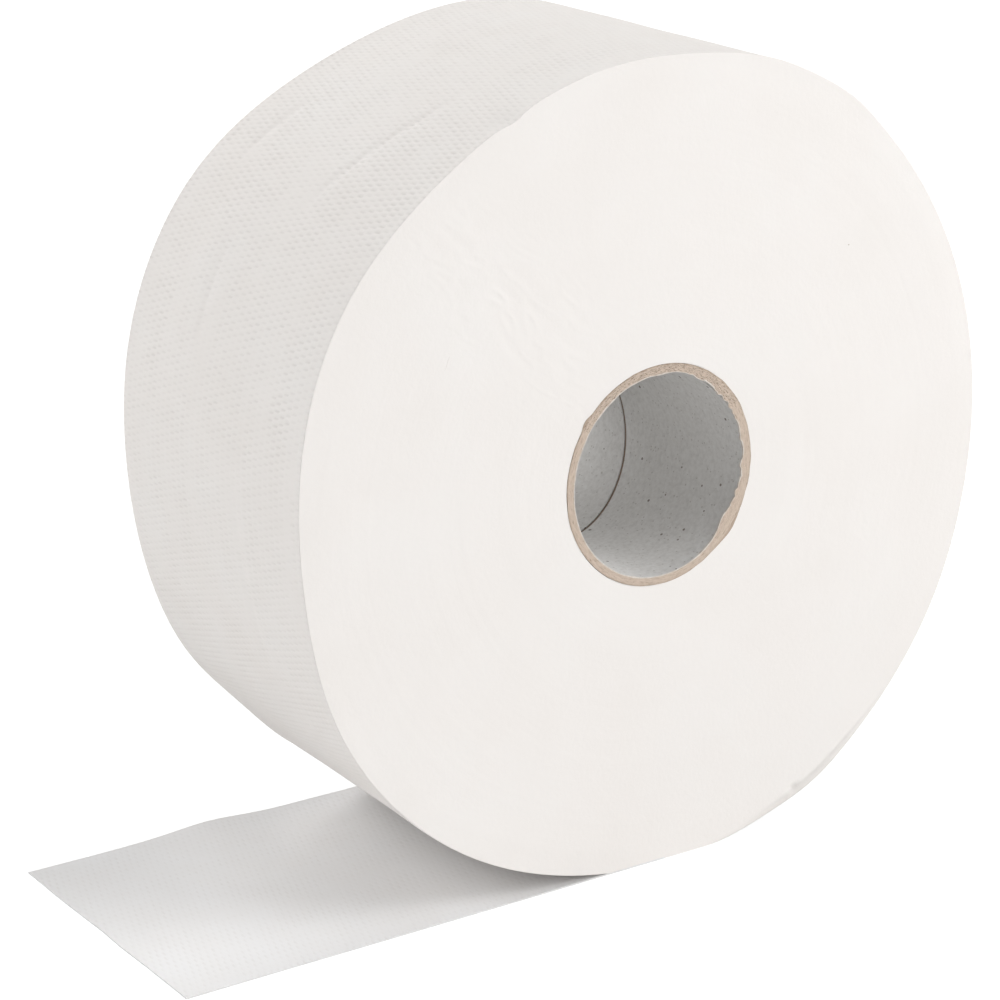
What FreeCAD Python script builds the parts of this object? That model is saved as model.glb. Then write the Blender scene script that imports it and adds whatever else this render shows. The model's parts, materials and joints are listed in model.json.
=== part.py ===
import FreeCAD, Part
import math
import os

# A jumbo toilet paper roll that stands on its rim, with its loose end laid out on the floor.
# Millimetres, +Z up. The core runs along +Y. The origin is on the floor, straight below the
# core's axis and halfway along the roll. The loose end runs towards -X.

# The wound paper
roll_radius = 120.6
roll_width = 100.0
flat_spot_width = 36.0
rim_bevel = 1.3
sheet_thickness = 0.4
tail_length = 156.8

# How the soft roll departs from round: waves round its outline. Each has the number of its
# crests, its rise in wave heights, and the direction of one crest in degrees from +X towards +Z.
wave_height = 0.1
outline_waves = [(1, 9, -42.0), (2, 15, -66.0), (3, 8, 57.0), (4, 9, -37.0), (5, 7, 11.0)]
outline_points = 24

# The turn lines pressed into both end faces: one spiral standing for the many real turns
turn_line_count = 5
turn_line_width = 0.7
turn_line_depth = 0.4
turn_line_rim_margin = 5.0

# The core: a board tube with a thin liner strip wound inside it
bore_radius = 30.0
liner_thickness = 0.35
board_thickness = 2.15
glue_line = 0.1
seam_gap = 1.1
seam_pitch = 63.0
seam_front_direction = 26.0

# How far a cutting shape runs past what it cuts
overrun = 2.0

board_bore_radius = bore_radius + liner_thickness + glue_line
core_radius = board_bore_radius + board_thickness
front = -roll_width / 2
along_roll = FreeCAD.Vector(0, 1, 0)


def rise_at(angle):
    """How far the roll stands proud of its round radius in one direction."""
    return wave_height * sum(rise * math.cos(crests * math.radians(angle - crest_direction))
                           for crests, rise, crest_direction in outline_waves)


def axis_height():
    """The height of the core's axis, at which the floor cuts off the wanted flat spot."""
    radius_below = roll_radius + rise_at(-90)
    return math.sqrt(radius_below ** 2 - (flat_spot_width / 2) ** 2)


def at_axis(y):
    return FreeCAD.Vector(0, y, axis_height())


def outline_point(angle):
    radius = roll_radius + rise_at(angle)
    across = radius * math.cos(math.radians(angle))
    up = radius * math.sin(math.radians(angle))
    return at_axis(front) + FreeCAD.Vector(across, 0, up)


def outline_way(angle):
    """The unit direction in which the outline runs at one point."""
    small_turn = 0.01
    return (outline_point(angle + small_turn) - outline_point(angle - small_turn)).normalize()


def arc_leaving(start, way, end):
    """The arc that leaves start in the given direction and ends at end."""
    chord = end - start
    half = chord * 0.5
    beside = way - chord * (way.dot(chord) / chord.dot(chord))
    bulge = half.Length * math.tan(way.getAngle(chord) / 2)
    return Part.Arc(start, start + half + beside.normalize() * bulge, end).toShape()


def arc_pair(angle, next_angle):
    """Two arcs between outline points, in line with the outline at both and with each other."""
    start, end = outline_point(angle), outline_point(next_angle)
    way, end_way = outline_way(angle), outline_way(next_angle)
    chord = end - start
    turn = 2 * (1 - way.dot(end_way))
    forward = chord.dot(way + end_way)
    reach = (math.sqrt(forward ** 2 + turn * chord.dot(chord)) - forward) / turn
    joint = (start + end + (way - end_way) * reach) * 0.5
    return [arc_leaving(start, way, joint), arc_leaving(end, end_way * -1, joint)]


def roll_outline():
    """The closed outline of the roll's end, a chain of arcs that run smoothly into each other."""
    arcs = []
    for step in range(outline_points):
        arcs += arc_pair(360 * step / outline_points, 360 * (step + 1) / outline_points)
    return Part.Wire(Part.__sortEdges__(arcs))


def wound_paper():
    """The roll without its tail: bevelled rims, the core's hole and the flat spot."""
    roll = Part.Face(roll_outline()).extrude(along_roll * roll_width)
    rims = [edge for edge in roll.Edges if edge.BoundBox.YLength < rim_bevel]
    roll = roll.makeChamfer(rim_bevel, rims)
    core_hole = Part.makeCylinder(core_radius + glue_line, roll_width + 2 * overrun,
                                  at_axis(front - overrun), along_roll)
    floor_reach = 2 * roll_radius
    below_floor = Part.makeBox(2 * floor_reach, roll_width + 2 * overrun, floor_reach,
                               FreeCAD.Vector(-floor_reach, front - overrun, -floor_reach))
    return roll.cut([core_hole, below_floor])


def turn_line(end_y, inward):
    """One spiral V groove in an end face, drawn as half circles about two centres in turn.

    It starts and ends below the axis, and its outer end points at the nook above the tail.
    """
    line_room = roll_radius - turn_line_rim_margin - core_radius
    spacing = line_room / (turn_line_count + 0.5)
    lip = along_roll * (-inward * turn_line_depth)
    bottom = along_roll * (inward * turn_line_depth)
    half_turns = []
    for half in range(2 * turn_line_count):
        side = 1 if half % 2 == 0 else -1
        centre = at_axis(end_y) + FreeCAD.Vector(0, 0, side * spacing / 4)
        radius = core_radius + spacing * (half / 2 + 0.75)
        outward = FreeCAD.Vector(0, 0, -side)
        groove = Part.makePolygon([
            centre + outward * (radius - turn_line_width) + lip,
            centre + outward * (radius + turn_line_width) + lip,
            centre + outward * radius + bottom,
            centre + outward * (radius - turn_line_width) + lip])
        half_turns.append(Part.Face(groove).revolve(centre, along_roll, 180))
    return half_turns


def loose_tail():
    """The loose end of the web, flat on the floor from under the roll to its cut edge."""
    under_roll = flat_spot_width / 2
    return Part.makeBox(tail_length + under_roll, roll_width, sheet_thickness,
                        FreeCAD.Vector(-tail_length, front, 0))


def tissue_web():
    """The one long web: its wound turns and its loose tail as one solid."""
    grooves = turn_line(front, 1) + turn_line(front + roll_width, -1)
    return wound_paper().cut(grooves).fuse(loose_tail()).removeSplitter()


def tube(inner_radius, thickness):
    outer = Part.makeCylinder(inner_radius + thickness, roll_width, at_axis(front), along_roll)
    inner = Part.makeCylinder(inner_radius, roll_width, at_axis(front), along_roll)
    return outer.cut(inner)


def seam_cutter():
    """The narrow helical gap between the edges of the liner strip."""
    middle_radius = bore_radius + liner_thickness / 2
    slope = math.atan(seam_pitch / (2 * math.pi * middle_radius))
    half_gap = seam_gap / math.cos(slope) / 2
    inner = middle_radius - liner_thickness
    outer = middle_radius + liner_thickness
    section = Part.makePolygon([
        FreeCAD.Vector(inner, 0, -half_gap),
        FreeCAD.Vector(outer, 0, -half_gap),
        FreeCAD.Vector(outer, 0, half_gap),
        FreeCAD.Vector(inner, 0, half_gap),
        FreeCAD.Vector(inner, 0, -half_gap)])
    left_handed = True
    path = Part.makeHelix(seam_pitch, roll_width + 2 * overrun, middle_radius, 0, left_handed)
    cutter = Part.Wire(path).makePipeShell([section], True, True)
    start_direction = seam_front_direction - 360 * overrun / seam_pitch
    cutter.rotate(FreeCAD.Vector(0, 0, 0), FreeCAD.Vector(1, 0, 0), -90)
    cutter.rotate(FreeCAD.Vector(0, 0, 0), along_roll, -start_direction)
    cutter.translate(at_axis(front - overrun))
    return cutter


def core_liner():
    """The grey liner strip, wound in a helix against the board tube."""
    return tube(bore_radius, liner_thickness).cut(seam_cutter())


def core_board():
    """The brown board tube that the web is wound on."""
    return tube(board_bore_radius, board_thickness)


def main():
    os.makedirs("parts", exist_ok=True)
    pieces = {"tissue_web": tissue_web(), "core_board": core_board(), "core_liner": core_liner()}
    for name, shape in pieces.items():
        shape.exportStep("parts/" + name + ".step")
        print(name, "solids", len(shape.Solids), "valid", shape.isValid(),
              "cm3", round(shape.Volume / 1000, 2), shape.BoundBox)


main()
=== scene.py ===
import json
import math

import bpy
import numpy as np
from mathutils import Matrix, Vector


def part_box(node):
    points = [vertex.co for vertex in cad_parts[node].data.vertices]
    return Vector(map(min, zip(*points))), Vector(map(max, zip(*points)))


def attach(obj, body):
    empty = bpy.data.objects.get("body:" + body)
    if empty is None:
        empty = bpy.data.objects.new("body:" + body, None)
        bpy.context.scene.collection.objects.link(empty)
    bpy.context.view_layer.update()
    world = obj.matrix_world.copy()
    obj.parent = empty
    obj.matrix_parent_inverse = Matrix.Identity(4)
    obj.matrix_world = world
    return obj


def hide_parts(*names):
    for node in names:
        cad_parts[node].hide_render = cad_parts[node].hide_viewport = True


# The looks of a jumbo toilet paper roll: its embossed web with the loose end, the torn edge of its
# core, its materials, and the studio round it.

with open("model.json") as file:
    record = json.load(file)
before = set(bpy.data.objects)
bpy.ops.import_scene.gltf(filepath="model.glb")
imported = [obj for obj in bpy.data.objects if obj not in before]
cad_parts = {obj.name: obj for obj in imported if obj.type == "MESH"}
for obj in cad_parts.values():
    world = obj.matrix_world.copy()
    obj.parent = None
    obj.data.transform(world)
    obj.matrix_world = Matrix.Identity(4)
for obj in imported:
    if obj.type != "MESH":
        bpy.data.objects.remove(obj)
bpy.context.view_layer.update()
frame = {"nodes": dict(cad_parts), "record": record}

# Shapes are worked out in millimetres, in the frame's own axes, and made in metres. A direction round
# the roll is in degrees from +X towards +Z. The near end of the roll is the one at -Y.
MM = 0.001

# Sizes that the frame gives
web_low, web_high = [np.array(corner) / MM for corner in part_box("tissue_web")]
board_low, board_high = [np.array(corner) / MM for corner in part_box("core_board")]
bore = next(mount for mount in frame["record"]["mounts"] if mount["name"] == "core_bore")
half_width = web_high[1]
axis_height = bore["pos_m"][2] / MM
bore_radius = bore["dims"]["r_mm"]
board_radius = (board_high[2] - board_low[2]) / 2
tail_length = -web_low[0]

# The roll's round shape. The end faces sink towards the rims, from a share of the way out.
roll_radius = 120.6
sheet_thickness = 0.4
rim_rounding = 0.3
rim_sink = 0.12
rim_sink_from = 0.9
core_clearance = 0.1

# Where the roll's underside passes from the bare floor onto its own loose end
floor_end = 3.0
tail_start = -2.0

# Waves round the outline: the number of crests, the rise, and the direction of one crest
outline_waves = [(1, 0.9, -42.0), (2, 1.5, -66.0), (3, 0.8, 57.0), (4, 0.9, -37.0), (5, 0.7, 11.0)]

# Soft swellings (and, below zero, hollows) of the two rims: direction, rise and spread.
# Each fades towards the other end of the roll.
front_swellings = [(-60.0, 2.2, 8.0), (-40.0, -0.8, 10.0), (-84.0, -0.6, 6.0), (56.0, 0.8, 6.0),
                   (85.0, -1.4, 11.0), (129.0, -1.4, 15.0), (206.0, 1.9, 17.0)]
back_swellings = [(82.0, 1.7, 20.0), (137.0, 1.9, 17.0), (178.0, -0.7, 15.0), (225.0, -2.8, 11.0)]

# A small dent of the near rim: direction, depth and spread, and how far it reaches along the roll
rim_dent = (115.2, 1.0, 2.2)
rim_dent_reach = 6.0

# The slack outer turns at the near rim, low on the right: they lean in a little and leave a narrow
# gap inside them. Direction, size and spread, then how far inside the rim the gap lies, and its width.
leaning_rim = (-60.0, 4.4, 13.0)
slack_gap = (-57.0, 0.3, 11.0)
slack_gap_place = 0.6
slack_gap_width = 0.8

# A small pit beside the slack turns: direction, depth and spread, how far inside the rim, and its width
rim_pit = (-64.1, 0.8, 0.8)
rim_pit_place = 0.8
rim_pit_width = 0.9

# Painted shade on the lip of the slack turns, which roll away from the light: direction, strength and
# spread, how far in it reaches, and how strong it is on each row of the rounding, from the end face
# outwards
lip_painted_shade = (-60.0, 1.1, 12.0)
lip_painted_shade_reach = 0.8
lip_painted_shade_rows = (0.5, 0.25, 1.3)

# The embossed pits: spacing along the web, spacing of the staggered rows, depth, and how steep and
# how round a pit is
pit_spacing = 2.03
row_spacing = 2.9
pit_depth = 0.38
pit_sharpness = 1.1
pit_roundness = 1.5

# How firmly the pits are pressed: the usual share, soft noises (height, spacings along and across
# the web, seed), a firmer stretch (direction, rise, spread in millimetres) and the limits
usual_firmness = 0.6
uneven_firmness = [(0.3, (55, row_spacing / 0.8), 15), (0.2, (12, 9), 16), (0.4, (1.9, 2.6), 18)]
firm_stretch = (132.0, 0.3, 60.0)
firmness_limits = (0.1, 1.3)

# The slackness of the outer turn: soft noises, as above
web_slackness = [(0.22, (34, 21), 1), (0.07, (9, 60), 2)]

# Soft creases of the outer turn: direction and place along the roll of the start and of the end,
# then depth and width
web_creases = [((133, 34), (123, 32), 0.40, 1.4),
               ((136, -9), (117, -19), 0.40, 1.4),
               ((160, 12), (146, 15), 0.30, 1.4),
               ((196, -18), (176, -14), 0.30, 1.6)]

# The wound edges in the end faces: how far the rings wander and over what length, the height and
# spacing of fine and of coarse rings, how long a ring keeps its height, the low hills, where in
# their grids the noises begin, and the first seed of each end
ring_wander = 2.5
ring_wander_length = 50
fine_ring_height, fine_ring_spacing = 0.018, 1.9
coarse_ring_height, coarse_ring_spacing = 0.03, 5.5
ring_length = 45
end_hill_height = 0.10
end_hill_spacing = 26
end_noise_shift = 30
front_seed = 20
back_seed = 30

# How near the rim the end faces and the outer turn become calm: a share of the way out, and a length
end_calm_share = 0.93
outer_calm_length = 1.0

# The crumples of the near end face, seen from the axis: a band from the rim to the core, with its
# middle, its direction, its half length and half width, its height and the spacing of its folds
band_middle = (-50, 56)
band_way = (0.75, -0.66)
band_reach = (44, 15)
band_height = 0.12
band_fold_spacing = (2.6, 6.5)

# And a patch on the right: middle, half sizes, height and the spacing of its folds
patch_middle = (66, -40)
patch_reach = (20, 17)
patch_height = 0.09
patch_fold_spacing = (5, 9)

# How the folds of both bend, the level that the folds dip from, and their noises
fold_bend = 3.0
fold_bend_length = 11
fold_level = 0.45
fold_noise_shift = 60
fold_bend_seed = 5
band_fold_seed = 6
patch_fold_seed = 7

# Mesh density: points for each pit along the web and for each row across it, rows of an end face and
# how they bunch towards the rim, steps of a rounding, every how many columns an end face takes one,
# and how many stretches the outer turn is made in
points_per_pit = 4
points_per_row = 3
end_rows = 124
end_rows_bunching = 1.25
rim_rows = 4
end_column_step = 2
outer_stretches = 3

# The small pieces and the loose end have sharp edges from this angle on
sharp_edge_angle = 50

# The loose end: how far it is tucked under the roll, how far its far side is pulled in and between
# which places that begins, and the depth of its pits
tail_tuck = 4.0
tail_pull = 3.4
tail_pull_from, tail_pull_to = -10, -50
tail_pit_depth = 0.15

# Its low hump: height, the crest's place at the far side and its slant, spread, where across the web
# it rises, and where it dies away towards the roll
hump_height = 1.4
hump_crest = -96
hump_slant = 0.3
hump_spread = 15
hump_near_side, hump_far_side = -60, 45
hump_roll_end, hump_full = -30, -60

# Its fluffiness, its waviness (soft noises, as above), one crease (start, end, depth and width), and
# the waviness of its cut edge and how far in that reaches
tail_fluff = 0.05
tail_waviness = [(0.08, (15, 18), 9)]
tail_crease = ((-56, 24), (-84, 21), 0.12, 1.4)
cut_edge_waviness = [(0.25, (14, 50), 10)]
cut_edge_reach = 20
tail_noise_shift = 20

# The torn inner edge of the core's near end: direction, how far it leans in, spread; then the most
# that it may lean in, and its thickness
burr_places = [(92.0, 0.3, 12.0), (64.0, 0.7, 8.0), (45.0, 1.3, 7.0), (30.0, 1.1, 6.0), (14.0, 0.8, 6.0),
               (-4.0, 0.9, 6.0), (-18.0, 0.9, 6.0), (-36.0, 2.1, 12.0)]
burr_limit = 2.4
burr_thickness = 0.35

# How ragged it is: height, spacing in degrees, grid row and seed of two noises. It is less ragged
# below one direction, and follows the lean between two limits. The shift says where round the core
# these noises and those below begin.
raggedness = [(0.58, 3.1, 3, 11), (0.3, 1.4, 5, 12)]
ragged_from = -22.0
ragged_fade = 8
least_ragged = 0.15
ragged_lean_limits = (0.12, 1.2)
burr_noise_shift = 400

# Where the core's outer edge stands out: direction, size and spread; how far all of it stands past
# the plain tube; and how it wanders: height, spacing in degrees, grid row and seed
core_step = (143.0, 0.8, 4.0)
core_bulge = (-39.0, 0.7, 9.0)
core_overlap = 0.05
core_wander = (0.12, 6, 11, 17)

# The light skin inside the torn edge: its width, the share of it that shows and how that wanders
# (as above), and how much of it is covered where the edge leans in between two reaches
skin_width = 0.4
skin_share = 0.8
skin_wander = (0.4, 9, 7, 14)
skin_covered = 0.3
skin_cover_from, skin_cover_to = 0.3, 0.9

# The two rings of the torn edge: how far they stand out of the end, their bumps (as above), and
# their columns
edge_stand_out = 0.12
skin_stand_out = 0.16
edge_bumps = (0.06, 1.7, 9, 13)
burr_columns = 360

# A lifted sliver of one turn's edge on the near end face: places from the axis to the right and up,
# sizes, how far it bends, and its section as shares of its width and height
sliver_start = (-70.1, 46.6)
sliver_end = (-73.9, 41.4)
sliver_width = 0.55
sliver_height = 0.11
sliver_bend = 0.35
sliver_steps = 12
sliver_section = [(-0.5, -0.3), (-0.1, 1.0), (0.15, 0.8), (0.5, -0.3)]

# A fleck of dust there: place, radius, how oval it is, its corners, how far it stands out of the face
# and how deep it sits
fleck_place = (67.1, 58.2)
fleck_radius = 0.3
fleck_oval = 0.4
fleck_corners = 6
fleck_height = 0.2
fleck_depth = 0.1

# Tones of the tissue, for the roll and for its loose end, and how much darker the pits look: painted
# shade in the pits, partly the denser paper
tissue_white = (0.90, 0.868, 0.840)
tissue_warm = (0.885, 0.850, 0.818)
tissue_cool = (0.905, 0.880, 0.855)
roll_tones = [tissue_warm, tissue_white, tissue_cool]
# The loose end's tones are a darker, cooler copy of the roll's: painted shade on the same tissue
tail_shaded_tones = [(0.81, 0.80, 0.795), (0.82, 0.815, 0.815), (0.83, 0.83, 0.835)]
tone_stops = (0.2, 0.5, 0.8)
# The tone that pits and the slack turns' lip are darkened towards: painted shade
pit_and_lip_shade_tone = (0.55, 0.52, 0.49)
pit_shade = 0.30
tail_pit_shade = 0.24

# Tones of the core board, of its cracks, outer edge and seam (painted shade of the narrow gap), of the
# light skin and of the liner
board_tones = [(0.28, (0.36, 0.27, 0.20)), (0.42, (0.57, 0.465, 0.38)),
               (0.6, (0.64, 0.53, 0.44)), (0.78, (0.70, 0.60, 0.52))]
board_shadow = (0.20, 0.145, 0.105)
board_edge_tone = (0.36, 0.27, 0.20)
seam_shade_tone = (0.32, 0.245, 0.19)
skin_tones = [(0.35, (0.58, 0.51, 0.45)), (0.6, (0.74, 0.69, 0.64))]
liner_tones = [(0.3, (0.60, 0.59, 0.575)), (0.5, (0.67, 0.66, 0.645)), (0.72, (0.72, 0.715, 0.705))]
rusty_speck = (0.24, 0.20, 0.17)
dark_speck = (0.15, 0.12, 0.10)

# The board's grain: how closely its plies lie, to the metre, and how finely its fibres run round it
plies_to_the_metre = 2600.0
fibres_round = 16.0

# The fine lines of the wound edges: how many to the metre, and how far they wander
lines_to_the_metre = 900.0
line_wander = 4.0

# The board's cracks: from which level of their noise, how far up the ring, and how strong
crack_level = 0.56
crack_least_up = 0.55
crack_strength = 0.8

# The board's darker outer edge: its width, its gain for each millimetre and its strength
board_edge_width = 0.5
board_edge_gain = 0.8
board_edge_strength = 0.5

# Where the board shows in the seam and painted shade darkens it: this far from the ends and within this
# of the bore
seam_end_margin = 0.5
seam_depth = 1.0

# The camera, where the photo was taken from: degrees, metres from the aim, metres, millimetres
camera_azimuth = -34.25
camera_elevation = 17.81
camera_distance = 0.862
camera_aim = Vector((-0.0385, -0.0256, 0.1128))
camera_lens = 109.28
sensor_width = 36.0

# The floor: its size in metres, the light that it gives back, and how light it looks
floor_size = 12.0
floor_bounce = 0.80
floor_seen_grey = 0.30
floor_seen_glow = 0.86

# The light from all round: colour and strength
sky_tone = (1, 0.995, 0.985)
sky_strength = 0.19

# Soft lamps, all of one size and aimed at the roll: name, place in metres and power in watts
lamp_size = 1.3
lamps = [
    ("right_lamp", (1.6, -1.4, 0.45), 23.8),
    ("front_lamp", (-1.1, -1.8, 0.4), 7.2),
    ("high_lamp", (0.9, -1.2, 1.7), 14.3),
    ("left_lamp", (-1.5, 1.1, 1.2), 21.4),
    ("rear_lamp", (0.3, 1.9, 1.0), 17.0),
    ("top_lamp", (-0.2, -0.1, 2.2), 4.0),
]

pits_round = round(2 * math.pi * roll_radius / pit_spacing)


def seeded_grid(seed, size=128):
    return np.random.default_rng(seed).uniform(-1, 1, (size, size))


def smooth_noise(u, v, seed):
    """Soft random hills between -1 and 1, one unit apart."""
    grid = seeded_grid(seed)
    size = len(grid)
    column, row = np.floor(u).astype(int), np.floor(v).astype(int)
    across, up = u - column, v - row
    across = across * across * (3 - 2 * across)
    up = up * up * (3 - 2 * up)
    low = grid[row % size, column % size] * (1 - across)
    low = low + grid[row % size, (column + 1) % size] * across
    top = grid[(row + 1) % size, column % size] * (1 - across)
    top = top + grid[(row + 1) % size, (column + 1) % size] * across
    return low * (1 - up) + top * up


def unevenness(u, v, noises, shift=0):
    """The sum of soft noises, each with its height, its two spacings and its seed.

    The shift moves them all along their grids.
    """
    total = 0
    for height, (u_spacing, v_spacing), seed in noises:
        total = total + height * smooth_noise(u / u_spacing + shift, v / v_spacing + shift, seed)
    return total


def wander_round(angle, height, spacing, row, seed):
    """Soft noise along one line round the core."""
    return height * smooth_noise(angle / spacing + burr_noise_shift, angle * 0 + row, seed)


def step_between(low, high, value):
    share = np.clip((value - low) / (high - low), 0, 1)
    return share * share * (3 - 2 * share)


def swelling(angle, place, rise, spread):
    """A soft local rise of the outline; angles in degrees."""
    away = (angle - place + 180) % 360 - 180
    return rise * np.exp(-(away / spread) ** 2)


def outline_radius(angle, y):
    """The roll's radius, before the floor flattens it."""
    radius = roll_radius + 0 * angle
    for count, rise, crest in outline_waves:
        radius = radius + rise * np.cos(count * np.radians(angle - crest))
    back_share = (y + half_width) / (2 * half_width)
    for swell in front_swellings:
        radius = radius + (1 - back_share) * swelling(angle, *swell)
    for swell in back_swellings:
        radius = radius + back_share * swelling(angle, *swell)
    from_front = y + half_width
    return radius - np.exp(-(from_front / rim_dent_reach) ** 2) * swelling(angle, *rim_dent)


def arc_place(angle):
    """The place along the web that lies in one direction from the axis, in whole pits per turn."""
    return angle / 360 * pits_round * pit_spacing


def pressed_pits(along, across):
    """The web's staggered oval pits: 0 on the plain web, 1 at the bottom of a deep pit."""
    row_wave = np.cos(np.pi * across / row_spacing)
    wave = np.cos(2 * np.pi * along / pit_spacing) * row_wave
    pits = np.clip(-wave, 0, 1) ** pit_sharpness * np.abs(row_wave) ** pit_roundness
    firm_direction, firmer, spread = firm_stretch
    firmness = usual_firmness + unevenness(along, across, uneven_firmness)
    firmness = firmness + firmer * np.exp(-((along - arc_place(firm_direction)) / spread) ** 2)
    return np.clip(firmness, *firmness_limits) * pits


def crease(along, across, start, end, depth, width):
    """A soft straight crease between two places of the web."""
    start, end = np.array(start), np.array(end)
    way = end - start
    length = np.hypot(*way)
    way = way / length
    forward = (along - start[0]) * way[0] + (across - start[1]) * way[1]
    aside = (across - start[1]) * way[0] - (along - start[0]) * way[1]
    beyond, full = length / 3, length / 4
    fade = step_between(-beyond, full, forward)
    fade = fade * step_between(length + beyond, length - full, forward)
    return -depth * fade * np.exp(-(aside / width) ** 2)


def outer_relief(along, across):
    """Everything that lifts or sinks the roll's outer turn: pits, creases and slackness."""
    relief = -pit_depth * pressed_pits(along, across)
    relief = relief + unevenness(along, across, web_slackness)
    for (start_direction, start_y), (end_direction, end_y), depth, width in web_creases:
        start = (arc_place(start_direction), start_y)
        end = (arc_place(end_direction), end_y)
        relief = relief + crease(along, across, start, end, depth, width)
    return relief


def floor_under(x):
    """What the roll rests on: its own loose end to the left, the floor itself to the right."""
    return sheet_thickness * step_between(floor_end, tail_start, x)


def end_relief(x, z, seed):
    """How far the wound edges stand out of an end face, in millimetres."""
    wander_spacing = (ring_wander_length, ring_wander_length)
    wander = unevenness(x, z, [(ring_wander, wander_spacing, seed)], end_noise_shift)
    rings = np.hypot(x, z) + wander
    fine = smooth_noise(rings / fine_ring_spacing, (x + z) / ring_length + end_noise_shift, seed + 1)
    coarse = smooth_noise(rings / coarse_ring_spacing, (x - z) / ring_length + end_noise_shift, seed + 2)
    relief = fine_ring_height * fine + coarse_ring_height * coarse
    hills = [(end_hill_height, (end_hill_spacing, end_hill_spacing), seed + 3)]
    return relief + unevenness(x, z, hills, end_noise_shift)


def folds(u, v, spacing, seed):
    """Sharp-crested folds, spaced along u and v."""
    u_spacing, v_spacing = spacing
    return fold_level - np.abs(smooth_noise(u / u_spacing + fold_noise_shift,
                                            v / v_spacing + fold_noise_shift, seed))


def crumples(x, z):
    """The wrinkles of the near end face: a band from the rim to the core and a patch on the right."""
    right, up = x - band_middle[0], z - band_middle[1]
    forward = right * band_way[0] + up * band_way[1]
    aside = right * -band_way[1] + up * band_way[0]
    band = np.exp(-(forward / band_reach[0]) ** 4 - (aside / band_reach[1]) ** 4)
    bend_spacing = (fold_bend_length, fold_bend_length)
    bent = unevenness(x, z, [(fold_bend, bend_spacing, fold_bend_seed)], fold_noise_shift)
    relief = band_height * band * folds(aside + bent, forward, band_fold_spacing, band_fold_seed)
    right, up = x - patch_middle[0], z - patch_middle[1]
    patch = np.exp(-(right / patch_reach[0]) ** 2 - (up / patch_reach[1]) ** 2)
    return relief + patch_height * patch * folds(x + bent, z, patch_fold_spacing, patch_fold_seed)


def placed_round(radius, angle, y):
    """Points round the axis at a distance and in a direction, before the axis gets its height."""
    return np.stack([radius * np.cos(np.radians(angle)), y, radius * np.sin(np.radians(angle))], -1)


def web_points():
    """The wound web's surface as rows of points, from the core at the near end round to the far end.

    With them go the pressing values, which darken the material: painted shade and denser paper in the
    pits, and painted shade on the slack turns' lip.
    """
    columns = pits_round * points_per_pit
    angle = np.arange(columns) * 360 / columns - 90
    along = arc_place(angle)
    shares = 1 - np.linspace(1, 0, end_rows) ** end_rows_bunching
    rim_turns = np.linspace(math.pi / 2, 0, rim_rows + 1)
    straight = half_width - rim_rounding
    outer_steps = round(2 * straight / row_spacing * points_per_row)
    outer_places = np.linspace(-straight, straight, outer_steps + 1)

    def rim_size(side):
        if side > 0:
            return rim_rounding + 0 * angle
        return rim_rounding + swelling(angle, *leaning_rim)

    def end_row(side, share):
        edge = outline_radius(angle, side * half_width) - rim_size(side)
        hole = board_radius + core_clearance
        radius = hole + (edge - hole) * share
        x, z = radius * np.cos(np.radians(angle)), radius * np.sin(np.radians(angle))
        fade = step_between(1.0, end_calm_share, share)
        lift = fade * end_relief(x, z, front_seed if side < 0 else back_seed)
        if side < 0:
            lift = lift + fade * crumples(x, z)
            from_gap = edge - radius - slack_gap_place
            lift = lift - swelling(angle, *slack_gap) * np.exp(-(from_gap / slack_gap_width) ** 2)
            from_pit = edge - radius - rim_pit_place
            lift = lift - swelling(angle, *rim_pit) * np.exp(-(from_pit / rim_pit_width) ** 2)
        sunk = rim_sink * step_between(rim_sink_from, 1.0, share)
        return placed_round(radius, angle, side * (half_width + lift - sunk))

    def rim_row(side, turn):
        size = rim_size(side)
        radius = outline_radius(angle, side * half_width) - size * (1 - math.cos(turn))
        sunk = rim_sink * math.sin(turn)
        return placed_round(radius, angle, side * (half_width - size * (1 - math.sin(turn)) - sunk))

    def outer_row(place):
        size = (rim_size(-1) if place < 0 else rim_size(1)) - rim_rounding
        y = place + size * step_between(-half_width / 2, -straight, place)
        soft = step_between(straight, straight - outer_calm_length, np.abs(place))
        radius = outline_radius(angle, y) + soft * outer_relief(along, y)
        return placed_round(radius, angle, y)

    rows = [end_row(-1, share) for share in shares]
    rows += [rim_row(-1, turn) for turn in rim_turns[1:-1]]
    rows += [outer_row(place) for place in outer_places]
    rows += [rim_row(1, turn) for turn in rim_turns[-2:0:-1]]
    rows += [end_row(1, share) for share in shares[::-1]]
    points = np.stack(rows)
    points[..., 2] += axis_height
    points[..., 2] = np.maximum(points[..., 2], floor_under(points[..., 0]))

    pressed_and_shaded = np.zeros(points.shape[:2])
    # Painted shade on the slack turns' lip, which rolls away from the light, goes in with the pit values
    lip = swelling(angle, *lip_painted_shade)
    for row, share in enumerate(shares):
        from_rim = (1 - share) * (roll_radius - board_radius)
        pressed_and_shaded[row] = lip * math.exp(-(from_rim / lip_painted_shade_reach) ** 2)
    for row, strength in enumerate(lip_painted_shade_rows):
        pressed_and_shaded[end_rows + row] = strength * lip
    first_outer = end_rows + rim_rows - 1
    outer_rows = slice(first_outer, first_outer + len(outer_places))
    pressed_and_shaded[outer_rows] = pressed_pits(along, outer_places[:, None])
    return points, pressed_and_shaded


def closed_grid_normals(points):
    """Smooth normals of a grid whose last column meets its first."""
    least_length = 1e-12
    across = np.roll(points, -1, 1) - np.roll(points, 1, 1)
    normals = np.cross(np.gradient(points, axis=0), across)
    return normals / np.maximum(np.linalg.norm(normals, axis=-1, keepdims=True), least_length)


def grid_faces(rows, columns, start=0):
    """Four-sided faces between neighbouring points of a grid."""
    corner = np.arange(rows - 1)[:, None] * columns + np.arange(columns - 1)[None, :]
    corner = corner.ravel() + start
    return np.stack([corner, corner + columns, corner + columns + 1, corner + 1], -1)


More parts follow.
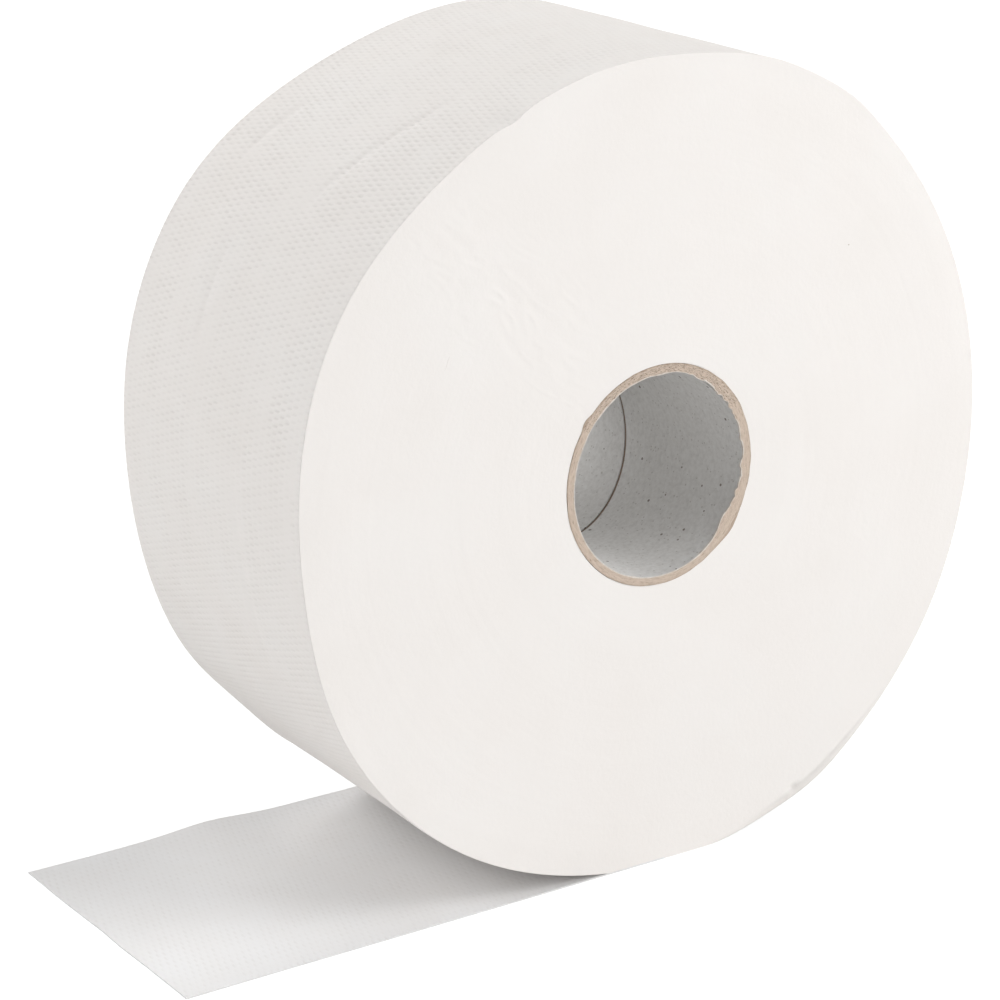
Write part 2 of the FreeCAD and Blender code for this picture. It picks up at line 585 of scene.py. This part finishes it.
def make_piece(name, points, faces, material, normals=None, pressed_and_shaded=None):
    """A smooth mesh piece in metres that rides with the roll; the pressing values say where its pits are
    and where painted shade lies.
    """
    mesh = bpy.data.meshes.new(name)
    mesh.from_pydata((points * MM).tolist(), [], faces.tolist())
    mesh.shade_smooth()
    if normals is None:
        mesh.set_sharp_from_angle(angle=math.radians(sharp_edge_angle))
    else:
        mesh.normals_split_custom_set_from_vertices(normals.tolist())
    if pressed_and_shaded is not None:
        mesh.attributes.new("pressed_and_shaded", "FLOAT", "POINT").data.foreach_set("value", pressed_and_shaded.ravel())
    mesh.materials.append(material)
    piece = bpy.data.objects.new(name, mesh)
    bpy.context.scene.collection.objects.link(piece)
    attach(piece, "root")
    return piece


def web_piece(name, points, normals, pressed_and_shaded, material):
    rows, columns = points.shape[:2]
    return make_piece(name, points.reshape(-1, 3), grid_faces(rows, columns), material,
                      normals.reshape(-1, 3), pressed_and_shaded)


def wound_web(tissue, tissue_ends):
    """The roll itself: two end faces and the outer turn in a few stretches."""
    points, pressed_and_shaded = web_points()
    normals = closed_grid_normals(points)
    points, normals, pressed_and_shaded = [np.concatenate([grid, grid[:, :1]], 1)
                                for grid in (points, normals, pressed_and_shaded)]
    end_columns = slice(0, None, end_column_step)
    pieces = []
    for name, band in [("web_end_front", slice(0, end_rows)), ("web_end_back", slice(-end_rows, None))]:
        pieces.append(web_piece(name, points[band, end_columns], normals[band, end_columns],
                                pressed_and_shaded[band, end_columns], tissue_ends))
    outer = slice(end_rows - 1, len(points) - end_rows + 1)
    columns = points.shape[1] - 1
    for stretch in range(outer_stretches):
        start = columns * stretch // outer_stretches
        end = columns * (stretch + 1) // outer_stretches
        span = slice(start, end + 1)
        pieces.append(web_piece("web_outer_turn_" + str(stretch + 1), points[outer, span],
                                normals[outer, span], pressed_and_shaded[outer, span], tissue))
    return pieces


def tail_heights(x, y):
    """The underside and the top of the loose end."""
    crest = hump_crest - hump_slant * (half_width - y)
    hump = hump_height * step_between(hump_near_side, hump_far_side, y)
    hump = hump * np.exp(-((x - crest) / hump_spread) ** 2)
    lift = hump * step_between(hump_roll_end, hump_full, x)
    top = lift + sheet_thickness - tail_pit_depth * pressed_pits(x, y)
    top = top + unevenness(x, y, tail_waviness, tail_noise_shift) + tail_fluff
    return lift, top + crease(x, y, *tail_crease)


def loose_tail(tissue):
    """The loose end of the web, a thin closed sheet from under the roll to its cut edge."""
    length = tail_length + tail_tuck
    rows = round(length / pit_spacing * points_per_pit) + 1
    columns = round(2 * half_width / row_spacing * points_per_row) + 1
    x = np.linspace(-tail_length, tail_tuck, rows)[:, None] + np.zeros((1, columns))
    share = np.linspace(-1, 1, columns)[None, :]
    pulled_in = tail_pull * step_between(tail_pull_from, tail_pull_to, x) * np.clip(share, 0, 1)
    y = share * half_width - pulled_in
    near_cut = step_between(-tail_length + cut_edge_reach, -tail_length, x)
    x = x + unevenness(y, y, cut_edge_waviness, tail_noise_shift) * near_cut
    low, top = tail_heights(x, y)
    upper = np.stack([x, y, top], -1).reshape(-1, 3)
    lower = np.stack([x, y, low], -1).reshape(-1, 3)
    count = rows * columns
    upper_faces = grid_faces(rows, columns)
    lower_faces = grid_faces(rows, columns, count)[:, ::-1]
    index = np.arange(count).reshape(rows, columns)
    rim = np.concatenate([index[0, :], index[1:, -1], index[-1, -2::-1], index[-2:0:-1, 0]])
    after = np.roll(rim, -1)
    rim_faces = np.stack([rim, after, after + count, rim + count], -1)
    points = np.concatenate([upper, lower])
    faces = np.concatenate([upper_faces, lower_faces, rim_faces])
    pressed_and_shaded = np.concatenate([pressed_pits(x, y).ravel(), np.zeros(count)])
    piece = make_piece("web_tail", points, faces, tissue, pressed_and_shaded=pressed_and_shaded)
    return piece


def burr_reach(angle):
    """How far the core's torn inner edge leans in."""
    reach = 0 * angle
    for place, depth, spread in burr_places:
        reach = reach + swelling(angle, place, depth, spread)
    signed_angle = (angle + 180) % 360 - 180
    ragged = sum(wander_round(angle, *noise_values) for noise_values in raggedness)
    full = step_between(ragged_from - ragged_fade, ragged_from, signed_angle)
    ragged = ragged * (least_ragged + (1 - least_ragged) * full)
    return np.clip(reach + ragged * np.clip(reach, *ragged_lean_limits), 0, burr_limit)


def ring(name, inner, outer, near_y, material):
    """A thin ring at the core's near end whose inner and outer edges wander, closed all round."""
    angle = np.arange(burr_columns) * 360 / burr_columns
    turn = np.radians(angle)
    far_y = -half_width + burr_thickness
    middle = (outer(angle) + inner(angle)) / 2
    loops = []
    for radius, y in [(outer(angle), far_y), (outer(angle), near_y), (middle, near_y),
                      (inner(angle), near_y), (inner(angle), far_y)]:
        y = y + wander_round(angle, *edge_bumps)
        loops.append(np.stack([radius * np.cos(turn), y, radius * np.sin(turn) + axis_height], -1))
    points = np.stack(loops).reshape(-1, 3)
    index = np.arange(len(loops) * burr_columns).reshape(len(loops), burr_columns)
    following = np.roll(index, -1, 1)
    faces = []
    for low in range(len(loops)):
        high = (low + 1) % len(loops)
        faces.append(np.stack([index[low], following[low], following[high], index[high]], -1))
    return make_piece(name, points, np.concatenate(faces), material)


def cut_core_edge(board, skin):
    """The sawn near end of the core, with its torn inner edge and the light skin that lines it."""

    def board_inner(angle):
        return bore_radius + skin_width - burr_reach(angle)

    def skin_inner(angle):
        shown = skin_share + wander_round(angle, *skin_wander)
        covered = skin_covered * step_between(skin_cover_from, skin_cover_to, burr_reach(angle))
        return board_inner(angle) - skin_width * (shown - covered)

    def board_outer(angle):
        radius = board_radius + core_overlap + wander_round(angle, *core_wander)
        return radius + swelling(angle, *core_step) + swelling(angle, *core_bulge)

    ring("core_cut_edge", board_inner, board_outer, -half_width - edge_stand_out, board)
    ring("core_skin_lip", skin_inner, board_inner, -half_width - skin_stand_out, skin)


def lifted_sliver(tissue):
    """A short thin ridge that stands off the end face."""
    start, end = np.array(sliver_start), np.array(sliver_end)
    way = (end - start) / np.hypot(*(end - start))
    aside = np.array([way[1], -way[0]])
    points = []
    for step in range(sliver_steps + 1):
        share = step / sliver_steps
        swell = math.sin(math.pi * share)
        middle = start + (end - start) * share + aside * sliver_bend * math.sin(2 * math.pi * share)
        for across, rise in sliver_section:
            x, z = middle + aside * sliver_width * swell * across
            points.append((x, -half_width - sliver_height * swell * rise, z + axis_height))
    faces = grid_faces(sliver_steps + 1, len(sliver_section))[:, ::-1]
    return make_piece("web_lifted_sliver", np.array(points), faces, tissue)


def dust_fleck(board):
    """A tiny brown fleck caught on the end face."""
    x, z = fleck_place
    points = [(x, -half_width - fleck_height, z + axis_height)]
    faces = []
    for corner in range(fleck_corners):
        turn = 2 * math.pi * corner / fleck_corners
        reach = fleck_radius * (1 + fleck_oval * math.cos(2 * turn))
        points.append((x + reach * math.cos(turn), -half_width + fleck_depth,
                       z + axis_height + reach * math.sin(turn)))
        faces.append((0, 1 + corner, 1 + (corner + 1) % fleck_corners))
    make_piece("core_dust_fleck", np.array(points), np.array(faces), board)


def new_material(name, roughness, specular):
    material = bpy.data.materials.new(name)
    material.use_nodes = True
    nodes = material.node_tree.nodes
    shader = nodes["Principled BSDF"]
    shader.inputs["Roughness"].default_value = roughness
    shader.inputs["Specular IOR Level"].default_value = specular
    return material, nodes, material.node_tree.links, shader


def add_node(nodes, kind, **settings):
    node = nodes.new(kind)
    for key, value in settings.items():
        setattr(node, key, value)
    return node


def noise(nodes, links, coordinates, scale, detail=2.0, roughness=0.5):
    node = add_node(nodes, "ShaderNodeTexNoise")
    node.inputs["Scale"].default_value = scale
    node.inputs["Detail"].default_value = detail
    node.inputs["Roughness"].default_value = roughness
    links.new(coordinates, node.inputs["Vector"])
    return node.outputs["Fac"]


def ramp(nodes, links, factor, stops):
    node = add_node(nodes, "ShaderNodeValToRGB")
    elements = node.color_ramp.elements
    while len(elements) < len(stops):
        elements.new(0.5)
    for element, (place, colour) in zip(elements, stops):
        element.position = place
        element.color = (*colour, 1)
    links.new(factor, node.inputs["Fac"])
    return node.outputs["Color"]


def mix_colours(nodes, links, factor, first, second):
    """The first colour with a share of the second, which is a plain colour, laid over it."""
    node = add_node(nodes, "ShaderNodeMix", data_type="RGBA")
    links.new(factor, node.inputs["Factor"])
    links.new(first, node.inputs["A"])
    node.inputs["B"].default_value = (*second, 1)
    return node.outputs["Result"]


def calculate(nodes, links, operation, first, second=None):
    node = add_node(nodes, "ShaderNodeMath", operation=operation)
    for socket, value in zip(node.inputs, (first, second)):
        if isinstance(value, bpy.types.NodeSocket):
            links.new(value, socket)
        elif value is not None:
            socket.default_value = value
    return node.outputs[0]


def combine(nodes, links, operation, first, second=None):
    """A vector worked out from one vector and another one, which is plain, linked or absent."""
    node = add_node(nodes, "ShaderNodeVectorMath", operation=operation)
    links.new(first, node.inputs[0])
    if isinstance(second, bpy.types.NodeSocket):
        links.new(second, node.inputs[1])
    elif second is not None:
        node.inputs[1].default_value = second
    return node


def bump(nodes, links, height, strength, distance, after=None):
    node = add_node(nodes, "ShaderNodeBump")
    node.inputs["Strength"].default_value = strength
    node.inputs["Distance"].default_value = distance
    links.new(height, node.inputs["Height"])
    if after is not None:
        links.new(after, node.inputs["Normal"])
    return node.outputs["Normal"]


def place_on_object(nodes):
    return add_node(nodes, "ShaderNodeTexCoord").outputs["Object"]


def round_the_core(nodes, links):
    """Where a point lies: its place, its direction from the axis and how far off the axis it is."""
    place = place_on_object(nodes)
    from_axis = combine(nodes, links, "SUBTRACT", place, (0, 0, axis_height * MM))
    flattened = combine(nodes, links, "MULTIPLY", from_axis.outputs[0], (1, 0, 1))
    direction = combine(nodes, links, "NORMALIZE", flattened.outputs[0])
    radius = combine(nodes, links, "LENGTH", flattened.outputs[0])
    return place, direction.outputs[0], radius.outputs["Value"]


def shaded_tissue(nodes, links, place, tones, shade, blotch_scale):
    """The tissue's blotchy tone, darkened by the pressing values: painted shade and denser paper in the
    pits, painted shade on the slack turns' lip.
    """
    blotches = noise(nodes, links, place, scale=blotch_scale, detail=3.0, roughness=0.6)
    colour = ramp(nodes, links, blotches, list(zip(tone_stops, tones)))
    pressed_and_shaded = add_node(nodes, "ShaderNodeAttribute", attribute_name="pressed_and_shaded")
    # Darkening from the pressing values: painted shade, in the pits partly the denser paper
    denser_and_shaded = calculate(nodes, links, "MULTIPLY", pressed_and_shaded.outputs["Fac"], shade)
    return mix_colours(nodes, links, denser_and_shaded, colour, pit_and_lip_shade_tone)


def tissue_material(name, tones, shade):
    """Soft embossed tissue: off-white, fully matte, darker in its pits as painted shade and denser
    paper, with a fine fibre nap.
    """
    material, nodes, links, shader = new_material(name, roughness=0.95, specular=0.15)
    place = place_on_object(nodes)
    colour = shaded_tissue(nodes, links, place, tones, shade, blotch_scale=38.0)
    links.new(colour, shader.inputs["Base Color"])
    fibres = noise(nodes, links, place, scale=2600.0, detail=4.0, roughness=0.65)
    nap = bump(nodes, links, fibres, strength=0.35, distance=0.08 * MM)
    links.new(nap, shader.inputs["Normal"])
    return material


def tissue_end_material():
    """The wound edges of the web: the same tissue, with fine rings, a fine grain and painted shade on
    the slack turns' lip.
    """
    material, nodes, links, shader = new_material("tissue_wound_edges", roughness=0.95, specular=0.15)
    place, _, radius = round_the_core(nodes, links)
    bends = noise(nodes, links, place, scale=14.0)
    wander = calculate(nodes, links, "MULTIPLY", bends, line_wander * MM)
    rings = add_node(nodes, "ShaderNodeTexNoise", noise_dimensions="1D")
    rings.inputs["Scale"].default_value = lines_to_the_metre
    rings.inputs["Detail"].default_value = 3.0
    links.new(calculate(nodes, links, "ADD", radius, wander), rings.inputs["W"])
    colour = shaded_tissue(nodes, links, place, roll_tones, pit_shade, blotch_scale=22.0)
    links.new(colour, shader.inputs["Base Color"])
    fibres = noise(nodes, links, place, scale=1500.0, detail=4.0, roughness=0.65)
    grain = noise(nodes, links, place, scale=620.0, detail=3.0, roughness=0.6)
    nap = bump(nodes, links, fibres, strength=0.2, distance=0.1 * MM)
    rough = bump(nodes, links, grain, strength=0.2, distance=0.3 * MM, after=nap)
    ringed = bump(nodes, links, rings.outputs["Fac"], strength=0.12, distance=0.1 * MM, after=rough)
    links.new(ringed, shader.inputs["Normal"])
    return material


def board_cracks(nodes, links, stretched, direction):
    """A mask of the dark cracks in the upper part of the board's cut edge."""
    crack_noise = noise(nodes, links, stretched, scale=1.9, detail=3.0, roughness=0.7)
    cracks = calculate(nodes, links, "GREATER_THAN", crack_noise, crack_level)
    parts = add_node(nodes, "ShaderNodeSeparateXYZ")
    links.new(direction, parts.inputs[0])
    upper = calculate(nodes, links, "GREATER_THAN", parts.outputs["Z"], crack_least_up)
    return calculate(nodes, links, "MULTIPLY", calculate(nodes, links, "MULTIPLY", cracks, upper),
                     crack_strength)


def board_outer_edge(nodes, links, radius):
    """How much darker the board is towards its outside."""
    beyond = calculate(nodes, links, "SUBTRACT", radius, (board_radius - board_edge_width) * MM)
    share = calculate(nodes, links, "MULTIPLY", beyond, board_edge_gain / MM)
    share = calculate(nodes, links, "MAXIMUM", share, 0.0)
    return calculate(nodes, links, "MINIMUM", share, board_edge_strength)


def board_in_shaded_seam(nodes, links, place, radius):
    """A mask of the board that shows inside the bore, between the edges of the liner, where painted seam
    shade darkens it.
    """
    parts = add_node(nodes, "ShaderNodeSeparateXYZ")
    links.new(place, parts.inputs[0])
    off_middle = calculate(nodes, links, "ABSOLUTE", parts.outputs["Y"])
    within = calculate(nodes, links, "LESS_THAN", off_middle, (half_width - seam_end_margin) * MM)
    innermost = calculate(nodes, links, "LESS_THAN", radius, (bore_radius + seam_depth) * MM)
    return calculate(nodes, links, "MULTIPLY", within, innermost)


def board_material():
    """Brown core board, seen on its cut edge and in the seam, where painted shade darkens it: fibres and
    plies run round the core.
    """
    material, nodes, links, shader = new_material("core_board", roughness=0.92, specular=0.2)
    place, direction, radius = round_the_core(nodes, links)
    along_fibres = add_node(nodes, "ShaderNodeVectorMath", operation="SCALE")
    links.new(direction, along_fibres.inputs[0])
    along_fibres.inputs["Scale"].default_value = fibres_round
    layer = add_node(nodes, "ShaderNodeCombineXYZ")
    links.new(calculate(nodes, links, "MULTIPLY", radius, plies_to_the_metre), layer.inputs["Y"])
    stretched = combine(nodes, links, "ADD", along_fibres.outputs[0], layer.outputs[0]).outputs[0]
    plies = noise(nodes, links, stretched, scale=1.0, detail=4.0, roughness=0.65)
    colour = ramp(nodes, links, plies, board_tones)
    # The last of these darkens the board in the seam as painted shade
    for share, tone in [(board_cracks(nodes, links, stretched, direction), board_shadow),
                        (board_outer_edge(nodes, links, radius), board_edge_tone),
                        (board_in_shaded_seam(nodes, links, place, radius), seam_shade_tone)]:
        colour = mix_colours(nodes, links, share, colour, tone)
    links.new(colour, shader.inputs["Base Color"])
    fuzz = noise(nodes, links, place, scale=1900.0, detail=4.0, roughness=0.7)
    grooved = bump(nodes, links, plies, strength=0.5, distance=0.3 * MM)
    fuzzy = bump(nodes, links, fuzz, strength=0.6, distance=0.25 * MM, after=grooved)
    links.new(fuzzy, shader.inputs["Normal"])
    return material


def skin_material():
    """The pale torn edge of the core's liner."""
    material, nodes, links, shader = new_material("core_skin", roughness=0.9, specular=0.2)
    patches = noise(nodes, links, place_on_object(nodes), scale=500.0, detail=3.0, roughness=0.6)
    links.new(ramp(nodes, links, patches, skin_tones), shader.inputs["Base Color"])
    return material


def specks(nodes, links, place, scale, size, share, strength):
    """A mask of small spots: how many to the metre, their size, the share shown and their strength."""
    cells = add_node(nodes, "ShaderNodeTexVoronoi", feature="F1")
    cells.inputs["Scale"].default_value = scale
    links.new(place, cells.inputs["Vector"])
    inside = calculate(nodes, links, "LESS_THAN", cells.outputs["Distance"], size)
    chance = add_node(nodes, "ShaderNodeSeparateColor")
    links.new(cells.outputs["Color"], chance.inputs[0])
    chosen = calculate(nodes, links, "LESS_THAN", chance.outputs[0], share)
    spots = calculate(nodes, links, "MULTIPLY", inside, chosen)
    return calculate(nodes, links, "MULTIPLY", spots, strength)


def liner_material():
    """Grey recycled liner with soft mottling and scattered dark and rusty specks."""
    material, nodes, links, shader = new_material("core_liner", roughness=0.85, specular=0.25)
    place = place_on_object(nodes)
    mottling = noise(nodes, links, place, scale=700.0, detail=4.0, roughness=0.6)
    colour = ramp(nodes, links, mottling, liner_tones)
    fine = specks(nodes, links, place, scale=900.0, size=0.24, share=0.22, strength=0.4)
    colour = mix_colours(nodes, links, fine, colour, rusty_speck)
    coarse = specks(nodes, links, place, scale=330.0, size=0.15, share=0.30, strength=0.85)
    colour = mix_colours(nodes, links, coarse, colour, dark_speck)
    links.new(colour, shader.inputs["Base Color"])
    grain = noise(nodes, links, place, scale=1400.0, detail=4.0, roughness=0.6)
    grained = bump(nodes, links, grain, strength=0.2, distance=0.1 * MM)
    links.new(grained, shader.inputs["Normal"])
    return material


def dress_node(name, material):
    node = frame["nodes"][name]
    node.data.materials.clear()
    node.data.materials.append(material)


def make_object():
    board = board_material()
    tissue = tissue_material("tissue", roll_tones, pit_shade)
    pieces = wound_web(tissue, tissue_end_material())
    # The loose end's tissue takes the darker, cooler copy of the tones: painted shade
    pieces.append(loose_tail(tissue_material("tissue_loose_end_shaded", tail_shaded_tones, tail_pit_shade)))
    pieces.append(lifted_sliver(tissue))
    for piece in pieces:
        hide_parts("tissue_web")
    cut_core_edge(board, skin_material())
    dust_fleck(board)
    dress_node("core_board", board)
    dress_node("core_liner", liner_material())


def make_camera():
    azimuth, elevation = math.radians(camera_azimuth), math.radians(camera_elevation)
    back = Vector((math.sin(azimuth) * math.cos(elevation), -math.cos(azimuth) * math.cos(elevation),
                   math.sin(elevation)))
    data = bpy.data.cameras.new("camera")
    data.lens = camera_lens
    data.sensor_width = sensor_width
    camera = bpy.data.objects.new("camera", data)
    camera.location = camera_aim + back * camera_distance
    camera.rotation_mode = "QUATERNION"
    camera.rotation_quaternion = (-back).to_track_quat("-Z", "Y")
    bpy.context.scene.collection.objects.link(camera)
    bpy.context.scene.camera = camera


def seen_directly(nodes, links):
    """1 for what the camera sees, straight or by way of gloss or glass."""
    path = add_node(nodes, "ShaderNodeLightPath")
    seen = calculate(nodes, links, "MAXIMUM", path.outputs["Is Camera Ray"],
                     path.outputs["Is Glossy Ray"])
    return calculate(nodes, links, "MAXIMUM", seen, path.outputs["Is Transmission Ray"])


def plain_diffuse(nodes, grey):
    node = add_node(nodes, "ShaderNodeBsdfDiffuse")
    node.inputs["Color"].default_value = (grey, grey, grey, 1)
    return node


def floor_material():
    material = bpy.data.materials.new("floor")
    material.use_nodes = True
    nodes, links = material.node_tree.nodes, material.node_tree.links
    nodes.remove(nodes["Principled BSDF"])
    bounce = plain_diffuse(nodes, floor_bounce)
    grey = plain_diffuse(nodes, floor_seen_grey)
    glow = add_node(nodes, "ShaderNodeEmission")
    glow.inputs["Strength"].default_value = floor_seen_glow
    seen = add_node(nodes, "ShaderNodeAddShader")
    links.new(grey.outputs[0], seen.inputs[0])
    links.new(glow.outputs[0], seen.inputs[1])
    both = add_node(nodes, "ShaderNodeMixShader")
    links.new(seen_directly(nodes, links), both.inputs[0])
    links.new(bounce.outputs[0], both.inputs[1])
    links.new(seen.outputs[0], both.inputs[2])
    links.new(both.outputs[0], nodes["Material Output"].inputs["Surface"])
    return material


def make_floor():
    """A plain pale floor that looks white and still takes the roll's soft shadow."""
    half = floor_size / 2
    corners = [(-half, -half, 0), (half, -half, 0), (half, half, 0), (-half, half, 0)]
    mesh = bpy.data.meshes.new("floor")
    mesh.from_pydata(corners, [], [(0, 1, 2, 3)])
    mesh.materials.append(floor_material())
    floor = bpy.data.objects.new("floor", mesh)
    bpy.context.scene.collection.objects.link(floor)


def make_sky():
    """Even light from all round, and white behind the roll."""
    world = bpy.data.worlds.new("studio")
    bpy.context.scene.world = world
    world.use_nodes = True
    nodes, links = world.node_tree.nodes, world.node_tree.links
    light = nodes["Background"]
    light.inputs["Color"].default_value = (*sky_tone, 1)
    light.inputs["Strength"].default_value = sky_strength
    white = add_node(nodes, "ShaderNodeBackground")
    both = add_node(nodes, "ShaderNodeMixShader")
    links.new(seen_directly(nodes, links), both.inputs[0])
    links.new(light.outputs[0], both.inputs[1])
    links.new(white.outputs[0], both.inputs[2])
    links.new(both.outputs[0], nodes["World Output"].inputs["Surface"])


def make_lamps():
    target = Vector((0, 0, axis_height * MM))
    for name, place, power in lamps:
        data = bpy.data.lights.new(name, "AREA")
        data.shape = "DISK"
        data.size = lamp_size
        data.energy = power
        lamp = bpy.data.objects.new(name, data)
        lamp.location = place
        lamp.rotation_mode = "QUATERNION"
        lamp.rotation_quaternion = (target - Vector(place)).to_track_quat("-Z", "Y")
        bpy.context.scene.collection.objects.link(lamp)


make_camera()
make_floor()
make_sky()
make_lamps()
bpy.context.scene.view_settings.view_transform = "Standard"
make_object()
